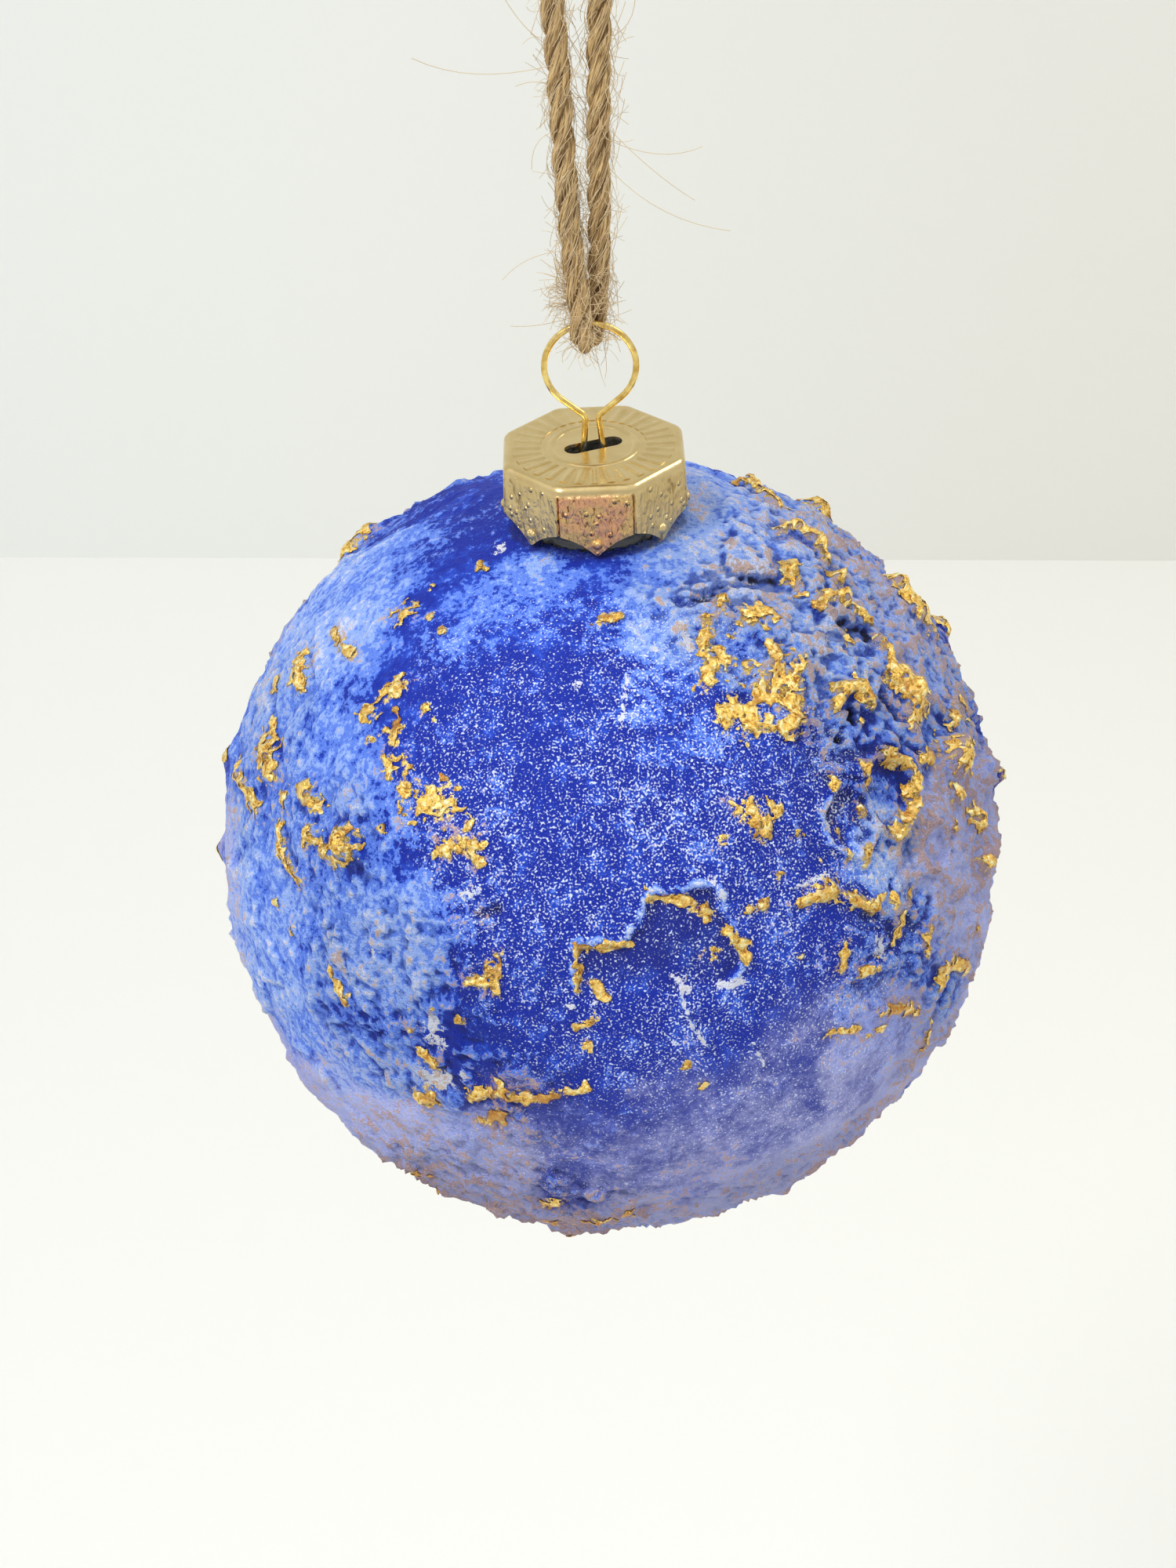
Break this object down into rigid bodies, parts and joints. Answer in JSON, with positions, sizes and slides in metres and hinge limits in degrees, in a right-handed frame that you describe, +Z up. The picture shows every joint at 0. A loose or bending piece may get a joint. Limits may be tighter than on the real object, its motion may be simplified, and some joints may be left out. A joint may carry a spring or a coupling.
{
  "type": "glass ball ornament",
  "caption": "Hanging glass ball with a crusted, painted and gilded paste coat, a stamped crown cap, a sprung wire hanger and a twine loop.",
  "frame": {"origin": "where a hook holds the twine loop, just under its knot", "axes": "+Z up along the hanging axis, from the ball to the knot; the ring's flat side and the first petal face -Y; +X to the right seen from there"},
  "size_m": [0.0846, 0.0832, 0.1587],
  "materials": {
    "glass": "gloss",
    "paste": "matt paste, painted cobalt and pale blue",
    "leaf": "bright crumpled leaf",
    "cap_metal": "pale gold plated, satin",
    "wire": "bright",
    "twine": "hairy natural fibre"
  },
  "bodies": {
    "twine_loop": {"twine": "twine", "twine_knot": "twine"},
    "hanger": {"hanger_wire": "wire"},
    "cap": {"ornament_cap": "cap_metal"},
    "ball": {"glass_ball": "glass", "texture_coat": "paste", "gold_leaf": "leaf"}
  },
  "joints": [
    {"name": "ring_swing", "type": "hinge", "parent": "twine_loop", "child": "hanger", "pos_m": [0, 0, -0.04059], "axis": [1, 0, 0], "range_deg": [-75, 75]},
    {"name": "hanger_rock", "type": "hinge", "parent": "hanger", "child": "cap", "pos_m": [0, 0, -0.05324], "axis": [1, 0, 0], "range_deg": [-6, 6]},
    {"name": "ball_turn", "type": "hinge", "parent": "cap", "child": "ball", "pos_m": [0, 0, -0.1], "axis": [0, 0, 1], "range_deg": [-180, 180]}
  ]
}
